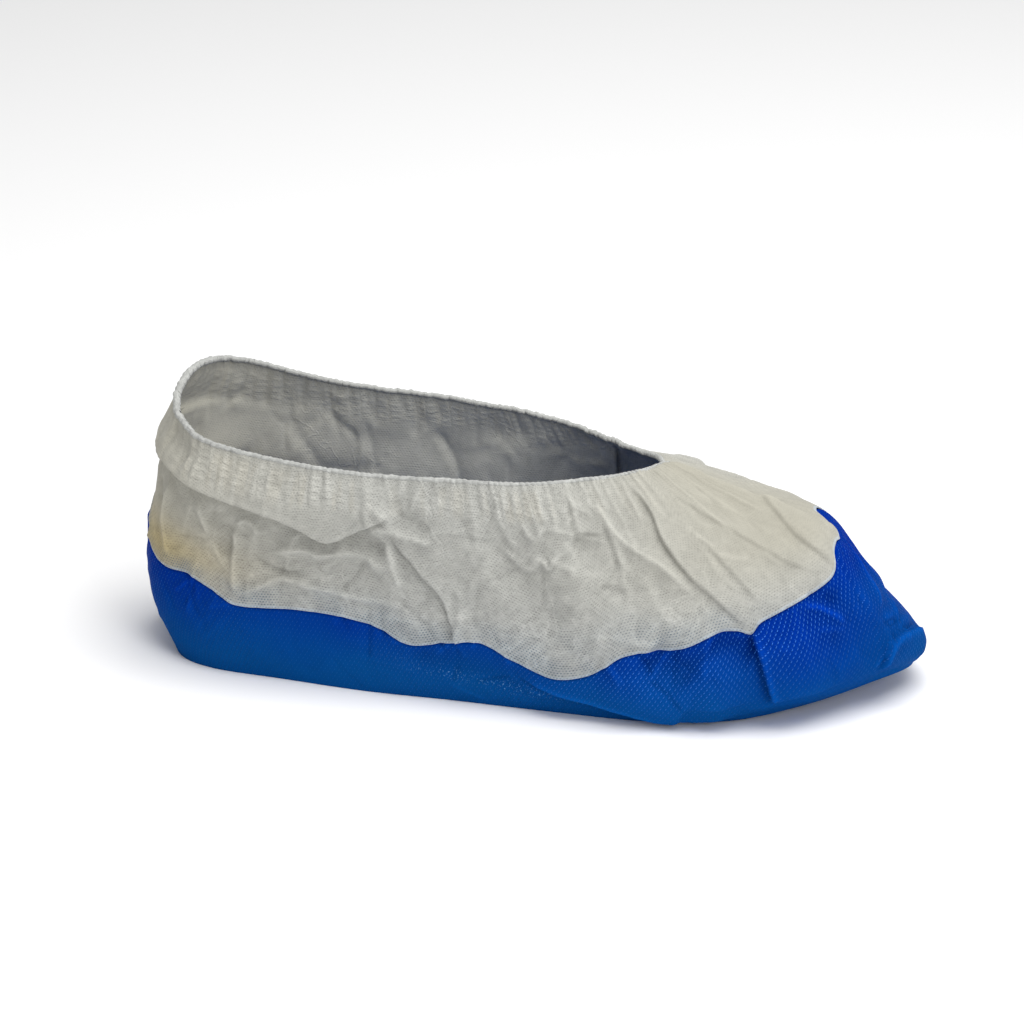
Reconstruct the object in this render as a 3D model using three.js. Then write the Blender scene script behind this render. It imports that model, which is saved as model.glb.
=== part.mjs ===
// Disposable shoe cover in its worn form: a blue embossed film tray for the sole, a white
// nonwoven upper welded over its edge, and the gathered elastic that draws the opening in.
// Millimetres, +Z up, heel towards -X and toe towards +X, standing on the flat sole at z = 0.
import * as THREE from 'three';

// driving dimensions
const upperWall = 1.2; // wall of the white nonwoven
const filmWall = 1.2; // wall of the blue film
const pieceGap = 0.3; // clearance between neighbouring pieces
const lapWidth = 0.04; // how far the film runs up inside the white, as a share of the height
const elasticRadius = 1.4; // half the thickness of the elastic edge
const elasticSides = 6;
const columns = 150; // steps round the cover, half on each side of the foot
const gatherSlope = 0.2; // how deep a gather is for the width of one column
const gatherReach = 12; // mm below the rim over which the gathers fade at the ankle
const toeGatherReach = 26; // the same over the toe, where the pleats fan out
const creaseEdge = 2.6; // mm over which a pleat steps down
const coverHeight = 100; // mm that one unit of "up" stands for in the short tables

// Sections round the cover, from the back of the heel along the outer side to the toe and back
// along the inner side. Each row gives the wall's outer points from the floor to the rim.
const levels = ['floor', 'side', 'waist', 'shoulder', 'crown', 'rim'];
const sections = [
  { at: 'heel back', floor: [8, 1, 0], side: [-3, 1, 22], waist: [-3, 1, 46],
    shoulder: [0, 1, 66], crown: [5, 1, 86], rim: [13, 2, 108] },
  { at: 'heel corner', floor: [14, -20, 0], side: [6, -19, 22], waist: [5, -18, 44],
    shoulder: [7, -17, 63], crown: [10, -16, 82], rim: [16, -14, 103] },
  { at: 'heel quarter', floor: [30, -30, 0], side: [26, -33, 20], waist: [26, -32, 42],
    shoulder: [27, -31, 60], crown: [27, -31, 79], rim: [30, -26, 97] },
  { at: 'heel side', floor: [60, -34, 0], side: [60, -38, 18], waist: [60, -37, 40],
    shoulder: [60, -37, 58], crown: [60, -38, 76], rim: [62, -33, 94] },
  { at: 'arch', floor: [94, -38, 0], side: [94, -41, 17], waist: [94, -40, 38],
    shoulder: [94, -39, 56], crown: [94, -40, 75], rim: [93, -35, 92] },
  { at: 'shank', floor: [128, -39, 0], side: [128, -43, 16], waist: [129, -43, 36],
    shoulder: [129, -41, 56], crown: [128, -39, 75], rim: [126, -34, 92] },
  { at: 'instep', floor: [166, -41, 0], side: [166, -46, 15], waist: [167, -47, 34],
    shoulder: [166, -44, 56], crown: [161, -39, 76], rim: [155, -32, 92] },
  { at: 'ball', floor: [205, -42, 0], side: [206, -48, 14], waist: [206, -49, 34],
    shoulder: [200, -42, 58], crown: [190, -33, 77], rim: [180, -24, 93] },
  { at: 'toe joint', floor: [238, -37, 1], side: [241, -45, 16], waist: [239, -44, 40],
    shoulder: [228, -35, 62], crown: [211, -25, 79], rim: [195, -15, 93] },
  { at: 'toe side', floor: [265, -24, 4], side: [271, -32, 18], waist: [265, -33, 46],
    shoulder: [250, -26, 68], crown: [225, -15, 81], rim: [202, -8, 93] },
  { at: 'toe corner', floor: [288, -8, 8], side: [294, -13, 22], waist: [283, -16, 50],
    shoulder: [267, -13, 72], crown: [236, -6, 82], rim: [205, -3, 92] },
  { at: 'toe tip', floor: [303, 11, 9], side: [306, 12, 20], waist: [286, 10, 46],
    shoulder: [267, 9, 72], crown: [238, 5, 80], rim: [206, 1, 90] },
  { at: 'inner toe corner', floor: [293, 32, 7], side: [296, 35, 16], waist: [277, 28, 42],
    shoulder: [259, 23, 66], crown: [231, 17, 79], rim: [203, 6, 89] },
  { at: 'inner toe side', floor: [262, 47, 4], side: [265, 52, 16], waist: [254, 47, 38],
    shoulder: [239, 38, 60], crown: [219, 27, 78], rim: [197, 13, 88] },
  { at: 'inner ball', floor: [215, 51, 0], side: [216, 57, 15], waist: [211, 55, 36],
    shoulder: [203, 47, 58], crown: [193, 36, 76], rim: [182, 24, 88] },
  { at: 'inner instep', floor: [168, 45, 0], side: [168, 50, 15], waist: [168, 50, 36],
    shoulder: [166, 46, 57], crown: [162, 41, 75], rim: [156, 33, 92] },
  { at: 'inner arch', floor: [120, 36, 0], side: [120, 41, 16], waist: [120, 42, 38],
    shoulder: [120, 41, 58], crown: [119, 41, 78], rim: [118, 36, 96] },
  { at: 'inner heel side', floor: [70, 33, 0], side: [70, 37, 18], waist: [70, 37, 41],
    shoulder: [70, 37, 61], crown: [70, 38, 81], rim: [70, 35, 100] },
  { at: 'inner heel quarter', floor: [33, 30, 0], side: [28, 33, 20], waist: [28, 33, 43],
    shoulder: [29, 33, 64], crown: [27, 34, 87], rim: [31, 31, 108] },
  { at: 'inner heel corner', floor: [14, 21, 0], side: [4, 20, 22], waist: [3, 19, 45],
    shoulder: [6, 19, 66], crown: [7, 19, 88], rim: [18, 19, 111] },
];
const toeSection = sections.findIndex((row) => row.at === 'toe tip');

// The weld line between film and nonwoven: section number round the cover, share of the height.
const weldLine = [
  { section: 0.0, up: 0.52 }, { section: 0.3, up: 0.485 }, { section: 0.57, up: 0.455 },
  { section: 0.91, up: 0.395 }, { section: 1.4, up: 0.37 }, { section: 1.83, up: 0.378 },
  { section: 2.2, up: 0.35 }, { section: 2.5, up: 0.312 }, { section: 3.3, up: 0.338 },
  { section: 4.05, up: 0.33 }, { section: 4.6, up: 0.275 }, { section: 4.95, up: 0.305 },
  { section: 5.35, up: 0.335 }, { section: 5.8, up: 0.27 }, { section: 6.15, up: 0.24 },
  { section: 6.45, up: 0.275 }, { section: 6.8, up: 0.375 }, { section: 7.4, up: 0.388 },
  { section: 7.85, up: 0.42 }, { section: 8.25, up: 0.395 }, { section: 8.6, up: 0.43 },
  { section: 9.0, up: 0.445 }, { section: 9.45, up: 0.46 }, { section: 9.78, up: 0.485 },
  { section: 10.0, up: 0.535 }, { section: 10.4, up: 0.55 }, { section: 10.72, up: 0.61 },
  { section: 11.2, up: 0.605 }, { section: 12.0, up: 0.5 }, { section: 13.0, up: 0.41 },
  { section: 14.3, up: 0.32 }, { section: 15.3, up: 0.26 }, { section: 16.3, up: 0.33 },
  { section: 17.4, up: 0.3 }, { section: 18.5, up: 0.35 }, { section: 19.4, up: 0.45 },
];

// The cuff: the top of the upper has slumped into a turned lip round the heel. The lip's
// height and how far it stands out, going round from the inner heel to the shank.
const cuffLip = [
  { section: 0.0, up: 0.82, depth: 6 }, { section: 1.3, up: 0.82, depth: 6 },
  { section: 2.4, up: 0.795, depth: 6 }, { section: 3.0, up: 0.77, depth: 6 },
  { section: 3.3, up: 0.74, depth: 5.5 }, { section: 3.6, up: 0.7, depth: 5.5 },
  { section: 3.9, up: 0.755, depth: 3.5 }, { section: 4.2, up: 0.82, depth: 1.5 },
  { section: 4.6, up: 0.8, depth: 0 }, { section: 11.0, up: 0.76, depth: 0 },
  { section: 17.6, up: 0.78, depth: 0 }, { section: 18.6, up: 0.8, depth: 2.5 },
];

// Folds, with the line each one follows as [section, up] points. A ridge stands proud on both
// sides of its line, or sinks where its depth is under zero. A pleat is raised on the right of it.
const folds = [
  { name: 'notch pleat', kind: 'pleat', width: 14, depth: 5.5,
    line: [[8.27, 0.38], [7.94, 0.52], [7.72, 0.61], [7.64, 0.72], [7.7, 0.94]] },
  { name: 'vamp crest', kind: 'ridge', width: 6, depth: 2.6,
    line: [[7.75, 0.52], [7.45, 0.64], [7.1, 0.74], [6.93, 0.9]] },
  { name: 'vamp hollow', kind: 'ridge', width: 7, depth: -2.6,
    line: [[9.1, 0.5], [8.85, 0.58], [8.68, 0.7]] },
  { name: 'vamp panel', kind: 'pleat', width: 9, depth: 2,
    line: [[8.5, 0.46], [8.3, 0.59], [8.22, 0.68]] },
  { name: 'long pleat', kind: 'pleat', width: 8, depth: 1.8,
    line: [[9.55, 0.49], [9.16, 0.56], [8.87, 0.69], [8.4, 0.92]] },
  { name: 'toe hollow', kind: 'ridge', width: 7, depth: -2.4,
    line: [[9.53, 0.55], [9.5, 0.73], [9.9, 0.93]] },
  { name: 'toe pleat', kind: 'pleat', width: 9, depth: 2.4,
    line: [[9.85, 0.48], [9.66, 0.58], [9.7, 0.65], [10.0, 0.72], [10.8, 0.82]] },
  { name: 'top panel', kind: 'pleat', width: 9, depth: 2.2,
    line: [[10.57, 0.77], [10.35, 0.7], [10.45, 0.63], [10.58, 0.54]] },
  { name: 'box pleat', kind: 'pleat', width: 7, depth: 2.8,
    line: [[6.5, 0.92], [6.46, 0.77], [6.38, 0.68]] },
  { name: 'waist valley', kind: 'ridge', width: 9, depth: -4,
    line: [[5.38, 0.76], [5.68, 0.6], [6.2, 0.42]] },
  { name: 'waist crest', kind: 'ridge', width: 8, depth: 2.6,
    line: [[5.2, 0.76], [5.4, 0.64], [5.8, 0.48]] },
  { name: 'ball crest', kind: 'ridge', width: 10, depth: 2.8,
    line: [[6.3, 0.7], [6.6, 0.5], [6.5, 0.34]] },
  { name: 'shank overlap', kind: 'pleat', width: 12, depth: 4.4,
    line: [[5.2, 0.2], [5.0, 0.43], [4.73, 0.56], [4.3, 0.74]] },
  { name: 'shank crest', kind: 'ridge', width: 5, depth: 2,
    line: [[4.46, 0.5], [4.37, 0.59], [4.28, 0.71]] },
  { name: 'tuft', kind: 'ridge', width: 6, depth: 3.2,
    line: [[4.0, 0.8], [4.2, 0.81], [4.42, 0.78]] },
  { name: 'slump', kind: 'ridge', width: 6, depth: 3.2,
    line: [[2.8, 0.55], [3.35, 0.62], [3.75, 0.63], [4.0, 0.64], [4.36, 0.55]] },
  { name: 'slump hollow', kind: 'ridge', width: 6, depth: -2.5,
    line: [[3.75, 0.69], [4.05, 0.7], [4.3, 0.64]] },
  { name: 'hem roll', kind: 'ridge', width: 5, depth: 2,
    line: [[2.42, 0.34], [2.86, 0.42], [3.31, 0.45], [4.5, 0.42]] },
  { name: 'quarter crest', kind: 'ridge', width: 5, depth: 2.4,
    line: [[2.49, 0.34], [2.48, 0.5], [2.5, 0.67], [2.8, 0.65]] },
  { name: 'heel crest', kind: 'ridge', width: 5, depth: 2.2,
    line: [[1.48, 0.42], [1.24, 0.6], [1.34, 0.76]] },
  { name: 'heel slant', kind: 'ridge', width: 6, depth: 2,
    line: [[2.42, 0.43], [2.09, 0.63], [2.0, 0.75]] },
  { name: 'film crease', kind: 'pleat', width: 12, depth: 6,
    line: [[8.47, 0.12], [8.32, 0.3], [8.25, 0.4]] },
  { name: 'seam hollow', kind: 'ridge', width: 6, depth: -2.8,
    line: [[4.5, 0.25], [5.1, 0.22], [6.0, 0.17]] },
  { name: 'ball hollow', kind: 'ridge', width: 8, depth: -4,
    line: [[7.05, 0.4], [7.27, 0.33], [7.5, 0.25]] },
  { name: 'swell crest', kind: 'ridge', width: 8, depth: 3,
    line: [[6.5, 0.26], [7.0, 0.23], [7.3, 0.14], [7.52, 0.05]] },
  { name: 'film swell', kind: 'pleat', width: 12, depth: 5.5,
    line: [[7.6, 0.02], [7.14, 0.055], [6.52, 0.125], [5.6, 0.21]] },
  { name: 'film bulge', kind: 'ridge', width: 11, depth: 3,
    line: [[7.6, 0.34], [7.75, 0.24], [7.8, 0.12]] },
  { name: 'toe bulge', kind: 'ridge', width: 12, depth: 3.2,
    line: [[8.7, 0.38], [8.85, 0.26], [8.9, 0.14]] },
  { name: 'rim hollow', kind: 'ridge', width: 6, depth: -3,
    line: [[9.1, 0.46], [9.3, 0.43], [9.5, 0.39]] },
  { name: 'side crest', kind: 'ridge', width: 5, depth: 2,
    line: [[9.6, 0.34], [10.3, 0.37], [11.2, 0.42]] },
  { name: 'toe corner tuck', kind: 'pleat', width: 9, depth: 3.6,
    line: [[11.4, 0.22], [10.54, 0.25], [10.14, 0.23], [9.89, 0.14]] },
  { name: 'inner toe pleat', kind: 'pleat', width: 12, depth: 2,
    line: [[12.0, 0.8], [12.2, 0.66], [12.4, 0.45]] },
  { name: 'inner vamp pleat', kind: 'pleat', width: 13, depth: 3.5,
    line: [[13.25, 0.76], [13.3, 0.62], [13.4, 0.36]] },
  { name: 'inner ball pleat', kind: 'pleat', width: 13, depth: 4,
    line: [[14.3, 0.9], [14.6, 0.66], [14.7, 0.3]] },
  { name: 'inner hollow', kind: 'ridge', width: 12, depth: -3.5,
    line: [[15.6, 0.85], [15.7, 0.6], [15.6, 0.36]] },
  { name: 'inner slump', kind: 'ridge', width: 8, depth: 3,
    line: [[18.3, 0.6], [17.5, 0.55], [16.6, 0.62]] },
  { name: 'inner film fold', kind: 'pleat', width: 12, depth: 4,
    line: [[13.9, 0.06], [13.6, 0.2], [13.4, 0.36]] },
];

const clamp = THREE.MathUtils.clamp;

// section number of a column: the first half of the columns runs down the outer side
function sectionOf(column) {
  const half = columns / 2;
  if (column <= half) return (toeSection * column) / half;
  return toeSection + ((sections.length - toeSection) * (column - half)) / half;
}

// the column, with its fraction, that a section number lies on
function columnOf(section) {
  const half = columns / 2;
  if (section <= toeSection) return (half * section) / toeSection;
  return half + (half * (section - toeSection)) / (sections.length - toeSection);
}

// cubic through one column of a table that runs once round the cover
function readTable(rows, name, section) {
  const place = THREE.MathUtils.euclideanModulo(section, sections.length);
  const row = (i) => rows[THREE.MathUtils.euclideanModulo(i, rows.length)];
  const at = (i) => row(i).section + sections.length * Math.floor(i / rows.length);
  const slope = (i) => (row(i + 1)[name] - row(i - 1)[name]) / (at(i + 1) - at(i - 1));
  const first = rows.filter((entry) => entry.section <= place).length - 1;
  const span = at(first + 1) - at(first);
  const t = (place - at(first)) / span;
  const rise = row(first + 1)[name] - row(first)[name];
  const ease = t * t * (3 - 2 * t);
  const lean = span * (t * (1 - t) ** 2 * slope(first) - t * t * (1 - t) * slope(first + 1));
  return row(first)[name] + rise * ease + lean;
}

// the smooth wall before any fold: closed curves round the cover, and a curve up across them
const rails = levels.map((level) => {
  const points = sections.map((row) => new THREE.Vector3(...row[level]));
  return new THREE.CatmullRomCurve3(points, true, 'catmullrom', 0.5);
});

function smoothWall(section, up) {
  const turn = THREE.MathUtils.euclideanModulo(section / sections.length, 1);
  const across = rails.map((rail) => rail.getPoint(turn));
  return new THREE.CatmullRomCurve3(across, false, 'catmullrom', 0.5).getPoint(clamp(up, 0, 1));
}

// how fast a surface runs round and up at a place, and the outward normal there
function slopes(surface, section, up, step) {
  const low = clamp(up - step, 0, 1);
  const high = clamp(up + step, 0, 1);
  const around = surface(section + 2 * step, up).sub(surface(section - 2 * step, up));
  const rising = surface(section, high).sub(surface(section, low));
  const normal = new THREE.Vector3().crossVectors(around, rising).normalize();
  return { around: around.divideScalar(4 * step), rising: rising.divideScalar(high - low), normal };
}

// each fold's line laid on the smooth wall
const foldLines = folds.map((fold) => {
  const chart = fold.line.map(([section, up]) => new THREE.Vector3(section, up, 0));
  const curve = new THREE.CatmullRomCurve3(chart, false, 'catmullrom', 0.5);
  const points = curve.getPoints(6 * (chart.length - 1)).map((p) => smoothWall(p.x, p.y));
  return { ...fold, points };
});

// a step whose high side falls back over the width, and whose foot is drawn in a little
function pleatProfile(side, width, depth) {
  const raised = 0.5 + 0.5 * Math.tanh(side / creaseEdge);
  const high = 0.65 * raised * Math.exp(-Math.max(side, 0) / width);
  const foot = 0.35 * (1 - raised) * Math.exp(Math.min(side, 0) / (0.6 * width));
  return depth * (high - foot);
}

// how far one fold moves a point of the wall, from the nearest point of its line
function foldDepth(fold, point, normal) {
  const last = fold.points.length - 1;
  let nearest = { distance: Infinity };
  for (let i = 0; i < last; i += 1) {
    const run = new THREE.Vector3().subVectors(fold.points[i + 1], fold.points[i]);
    const away = new THREE.Vector3().subVectors(point, fold.points[i]);
    const share = clamp(away.dot(run) / run.lengthSq(), 0, 1);
    away.addScaledVector(run, -share);
    if (away.length() < nearest.distance) {
      nearest = { distance: away.length(), away, run, along: (i + share) / last };
    }
  }
  if (nearest.distance > 3 * fold.width) return 0;
  const fade = Math.min(1, 4 * nearest.along, 4 * (1 - nearest.along));
  const ease = fade * fade * (3 - 2 * fade);
  if (fold.kind === 'ridge') {
    return ease * fold.depth * Math.exp(-((nearest.distance / fold.width) ** 2));
  }
  const right = new THREE.Vector3().crossVectors(nearest.run, normal);
  const side = nearest.distance * Math.sign(nearest.away.dot(right) || 1);
  return ease * pleatProfile(side, fold.width, fold.depth);
}

// the cuff's turned lip, whose high side is above its line
function cuffDepth(section, up) {
  const side = (up - readTable(cuffLip, 'up', section)) * coverHeight;
  return pleatProfile(side, gatherReach, Math.max(0, readTable(cuffLip, 'depth', section)));
}

// gathers under the elastic: one crest and one hollow for each pair of columns
function gatherDepth(section, up, pace) {
  const overToe = Math.exp(-(((section - toeSection + 0.5) / 3) ** 2));
  const reach = THREE.MathUtils.lerp(gatherReach, toeGatherReach, overToe);
  const columnWidth = pace / (columnOf(section + 0.5) - columnOf(section - 0.5));
  const fade = Math.exp(-((1 - up) * coverHeight) / reach);
  return gatherSlope * columnWidth * fade * Math.cos(Math.PI * columnOf(section));
}

// the outer face with its folds
function foldedWall(section, up) {
  const point = smoothWall(section, up);
  const { around, normal } = slopes(smoothWall, section, up, 0.01);
  let depth = cuffDepth(section, up) + gatherDepth(section, up, around.length());
  for (const fold of foldLines) depth += foldDepth(fold, point, normal);
  const onSole = THREE.MathUtils.smoothstep(up, 0, 0.08);
  point.addScaledVector(normal, depth * onSole);
  point.z = Math.max(0, point.z);
  return point;
}

// a point a given distance inside the outer face
function insideWall(section, up, distance) {
  const { normal } = slopes(foldedWall, section, up, 0.01);
  return foldedWall(section, up).addScaledVector(normal, -distance);
}

const columnRange = [...Array(columns).keys()];
const ringOf = (pointAt) => columnRange.map((column) => pointAt(sectionOf(column)));

// triangles of a closed body, gathered quad by quad
class Skin {
  constructor() {
    this.corners = [];
  }

  triangle(a, b, c) {
    if (a.equals(b) || b.equals(c) || c.equals(a)) return;
    for (const corner of [a, b, c]) this.corners.push(corner.x, corner.y, corner.z);
  }

  quad(a, b, c, d) {
    this.triangle(a, b, c);
    this.triangle(a, c, d);
  }

  // strips from one ring of points to the next; an inner face runs downwards, and its quads are
  // cut on the other diagonal so that both faces of a wall bend along the same lines
  sleeve(rings, downwards = false) {
    for (let k = 0; k + 1 < rings.length; k += 1) {
      columnRange.forEach((j) => {
        const next = (j + 1) % columns;
        const [a, b, c, d] = [rings[k][j], rings[k][next], rings[k + 1][next], rings[k + 1][j]];
        if (downwards) this.quad(b, c, d, a);
        else this.quad(a, b, c, d);
      });
    }
  }

  // a flat floor across a ring, from the outer side to the inner side
  floor(ring) {
    for (let j = 0; j < columns / 2; j += 1) {
      const across = (columns - j) % columns;
      this.quad(ring[j + 1], ring[j], ring[across], ring[columns - j - 1]);
    }
  }

  mesh(name, colour, roughness) {
    const geometry = new THREE.BufferGeometry();
    geometry.setAttribute('position', new THREE.Float32BufferAttribute(this.corners, 3));
    geometry.computeVertexNormals();
    const material = new THREE.MeshStandardMaterial({ color: colour, roughness, metalness: 0 });
    const mesh = new THREE.Mesh(geometry, material);
    mesh.name = name;
    return mesh;
  }
}

const weldUp = (section) => readTable(weldLine, 'up', section);

// where the upper stops, just under the elastic edge
function upperTop(section) {
  const pace = slopes(smoothWall, section, 1, 0.01).rising.length();
  return 1 - (2 * elasticRadius + pieceGap) / pace;
}

// blue tray: flat sole, film wall outside, and the lap tucked in behind the white
function makeSoleFilm() {
  const shares = [0.25, 0.5, 0.75, 1];
  const lapSetBack = upperWall + pieceGap;
  const rows = shares.map((share) => ({
    upAt: (section) => share * weldUp(section),
    setBack: share === 1 ? lapSetBack : 0,
  }));
  rows.push({ upAt: (section) => weldUp(section) + lapWidth, setBack: lapSetBack });
  const outerFloor = ringOf((section) => foldedWall(section, 0));
  const innerFloor = ringOf((section) => {
    const { normal } = slopes(foldedWall, section, 0, 0.01);
    const inward = new THREE.Vector3(-normal.x, -normal.y, 0).normalize();
    const point = foldedWall(section, 0).addScaledVector(inward, 1.3 * filmWall);
    return point.setZ(point.z + filmWall);
  });
  const face = (row, wall) =>
    ringOf((section) => insideWall(section, row.upAt(section), row.setBack + wall));
  const outer = rows.map((row) => face(row, 0));
  const inner = rows.map((row) => face(row, filmWall)).reverse();
  const skin = new Skin();
  skin.sleeve([outerFloor, ...outer, inner[0]]);
  skin.sleeve([...inner, innerFloor], true);
  skin.floor(outerFloor);
  skin.floor(innerFloor.map((_, j) => innerFloor[(columns - j) % columns]));
  return skin.mesh('sole_film', 0x0b47a8, 0.42);
}

// white wall from the weld line to the rim, with rows placed on the cuff's lip
function makeUpper() {
  const lip = (section) => readTable(cuffLip, 'up', section);
  const rows = [
    weldUp,
    (section) => weldUp(section) + lapWidth,
    ...[0.3, 0.55, 0.8].map((share) => (section) => {
      const low = weldUp(section) + lapWidth;
      return low + share * (lip(section) - 0.02 - low);
    }),
    (section) => lip(section) - 0.02,
    (section) => lip(section) + 0.015,
    ...[0.35, 0.7, 1].map((share) => (section) => {
      const low = lip(section) + 0.015;
      return low + share * (upperTop(section) - low);
    }),
  ];
  const face = (upAt, wall) => ringOf((section) => insideWall(section, upAt(section), wall));
  const outer = rows.map((upAt) => face(upAt, 0));
  const inner = rows.map((upAt) => face(upAt, upperWall)).reverse();
  const skin = new Skin();
  skin.sleeve([...outer, inner[0]]);
  skin.sleeve(inner, true);
  skin.sleeve([inner[inner.length - 1], outer[0]]);
  return skin.mesh('upper', 0xdcd9cf, 0.92);
}

// crimped elastic round the opening, seated on the top of the upper
function makeElasticEdge() {
  const sides = [...Array(elasticSides).keys()];
  const rings = sides.map((side) => ringOf((section) => {
    const { rising, normal } = slopes(foldedWall, section, 1, 0.01);
    const rise = rising.normalize();
    const crimp = elasticRadius * (1 - 0.08 * Math.cos(Math.PI * columnOf(section)));
    const angle = (2 * Math.PI * side) / elasticSides;
    const point = foldedWall(section, 1).addScaledVector(rise, -elasticRadius);
    point.addScaledVector(normal, -upperWall / 2 + crimp * Math.cos(angle));
    return point.addScaledVector(rise, crimp * Math.sin(angle));
  }));
  const skin = new Skin();
  skin.sleeve([...rings, rings[0]]);
  return skin.mesh('elastic_edge', 0xe4e1d8, 0.9);
}

const cover = new THREE.Group();
cover.add(makeSoleFilm(), makeUpper(), makeElasticEdge());

// the origin goes to the middle of the footprint, on the floor
const box = new THREE.Box3().setFromObject(cover);
const centre = box.getCenter(new THREE.Vector3());
cover.position.set(-centre.x, -centre.y, -box.min.z);

export default cover;
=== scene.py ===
import math

import bpy
import numpy as np
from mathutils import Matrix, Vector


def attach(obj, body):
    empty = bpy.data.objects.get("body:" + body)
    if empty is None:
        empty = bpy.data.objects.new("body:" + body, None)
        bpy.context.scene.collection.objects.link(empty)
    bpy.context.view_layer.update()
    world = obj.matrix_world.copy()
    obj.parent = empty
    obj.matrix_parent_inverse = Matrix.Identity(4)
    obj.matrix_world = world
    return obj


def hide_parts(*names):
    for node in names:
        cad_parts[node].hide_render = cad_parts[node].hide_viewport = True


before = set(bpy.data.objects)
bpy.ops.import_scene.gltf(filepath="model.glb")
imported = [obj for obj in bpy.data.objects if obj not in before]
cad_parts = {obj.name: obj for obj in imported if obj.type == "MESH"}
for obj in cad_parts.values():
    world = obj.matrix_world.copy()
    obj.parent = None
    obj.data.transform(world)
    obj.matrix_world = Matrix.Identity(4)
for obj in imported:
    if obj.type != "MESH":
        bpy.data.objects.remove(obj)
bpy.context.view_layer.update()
print("frame loaded:", sorted(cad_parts))

mm = 0.001  # tables are in millimetres, meshes in metres

# The cover's form: the CAD source's sections, and its weld line, lip and folds in more detail.
cover = {
    "cadOrigin": (-151.4648, -3.0979, 0.0),  # where the tables' origin lies in the frame
    "columns": 780,  # steps round the cover
    "toeSection": 11,
    "heightScale": 100.0,  # mm that one unit of height stands for beside the cuff's lip
    "creaseEdge": 0.65,  # mm over which a pleat steps down
    "clothGain": 0.9,  # all fold depths are multiplied by these
    "filmGain": 1.15,
    "lipSpread": 1.0,  # mm by which the cuff's lip laps over its foot
    "gatherReach": 12.0,  # mm below the rim over which the fine gathers fade at the ankle
    "toeGatherReach": 26.0,
    "gatherPitch": 3.1, "gatherHeight": 0.2, "gatherShade": 0.24,
    "softHills": [(0.8, 22, 11), (0.3, 9, 12)],  # height and size in mm, seed
    "crinkles": (0.22, 7, 13),
    "bottomBlend": 0.08,  # share of the height over which folds grow from the flat sole
    "seed": 7,
}

# outer points of the wall at each section, from the floor to the rim
sections = np.array([
    [(8, 1, 0), (-3, 1, 22), (-2.5, 1, 46), (2, 1, 66), (5, 1, 86), (13, 2, 108)],  # heel back
    [(14, -20, 0), (6, -19, 22), (5, -18, 44), (7, -17, 63), (10, -16, 82), (16, -14, 103)],
    [(30, -30, 0), (26, -33, 20), (26, -32, 42), (27, -31, 60), (27, -31, 79), (30, -26, 97)],
    [(60, -34, 0), (60, -38, 18), (60, -37, 40), (60, -37, 58), (60, -38, 76), (62, -33, 94)],
    [(94, -38, 0), (94, -41, 17), (94, -40, 38), (94, -39, 56), (94, -40, 75), (93, -35, 92)],
    [(128, -39, 0), (128, -43, 16), (129, -43, 36), (129, -41, 56), (128, -39, 75), (126, -34, 92)],
    [(166, -41, 0), (166, -46, 15), (167, -47, 34), (166, -44, 56), (161, -39, 76), (155, -32, 92)],
    [(205, -42, 0), (206, -48, 14), (206, -49, 34), (200, -42, 58), (190, -33, 77), (180, -24, 93)],
    [(238, -37, 1), (241, -45, 16), (239, -44, 40), (228, -35, 62), (211, -25, 79), (195, -15, 93)],
    [(265, -24, 4), (271, -32, 18), (265, -33, 46), (250, -26, 68), (225, -15, 81), (202, -8, 93)],
    [(288, -8, 8), (294, -13, 22), (283, -16, 50), (267, -13, 72), (236, -6, 82), (205, -3, 92)],
    [(303, 11, 9), (306, 12, 20), (286, 10, 46), (267, 9, 72), (238, 5, 80), (206, 1, 90)],  # toe tip
    [(293, 32, 7), (296, 35, 16), (277, 28, 42), (259, 23, 66), (231, 17, 79), (203, 6, 89)],
    [(262, 47, 4), (265, 52, 16), (254, 47, 38), (239, 38, 60), (219, 27, 78), (197, 13, 88)],
    [(215, 51, 0), (216, 57, 15), (211, 55, 36), (203, 47, 58), (193, 36, 76), (182, 24, 88)],
    [(168, 45, 0), (168, 50, 15), (168, 50, 36), (166, 46, 57), (162, 41, 75), (156, 33, 92)],
    [(120, 36, 0), (120, 41, 16), (120, 42, 38), (120, 41, 58), (119, 41, 78), (118, 36, 96)],
    [(70, 33, 0), (70, 37, 18), (70, 37, 41), (70, 37, 61), (70, 38, 81), (70, 35, 100)],
    [(33, 30, 0), (28, 33, 20), (28, 33, 43), (29, 33, 64), (27, 34, 87), (31, 31, 108)],
    [(14, 21, 0), (4, 20, 22), (3, 19, 45), (6, 19, 66), (7, 19, 88), (18, 19, 111)],
], float)

# the weld between film and nonwoven: section, share of the height
weldLine = np.array([
    (0.0, 0.52), (0.3, 0.485), (0.57, 0.455), (0.91, 0.395), (1.4, 0.37), (1.83, 0.378),
    (2.2, 0.35), (2.5, 0.312), (3.3, 0.338), (4.05, 0.33), (4.6, 0.275), (4.95, 0.305),
    (5.35, 0.335), (5.8, 0.27), (6.15, 0.24), (6.45, 0.275), (6.8, 0.375), (7.4, 0.388),
    (7.85, 0.42), (8.1, 0.412), (8.25, 0.393), (8.38, 0.418), (8.6, 0.43), (9.0, 0.445),
    (9.45, 0.46), (9.78, 0.485), (9.98, 0.535), (10.2, 0.55), (10.45, 0.546), (10.58, 0.576),
    (10.72, 0.628), (11.2, 0.605), (12.0, 0.5), (13.0, 0.41), (14.3, 0.32), (15.3, 0.26),
    (16.3, 0.33), (17.4, 0.3), (18.5, 0.35), (19.4, 0.45),
])

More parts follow.
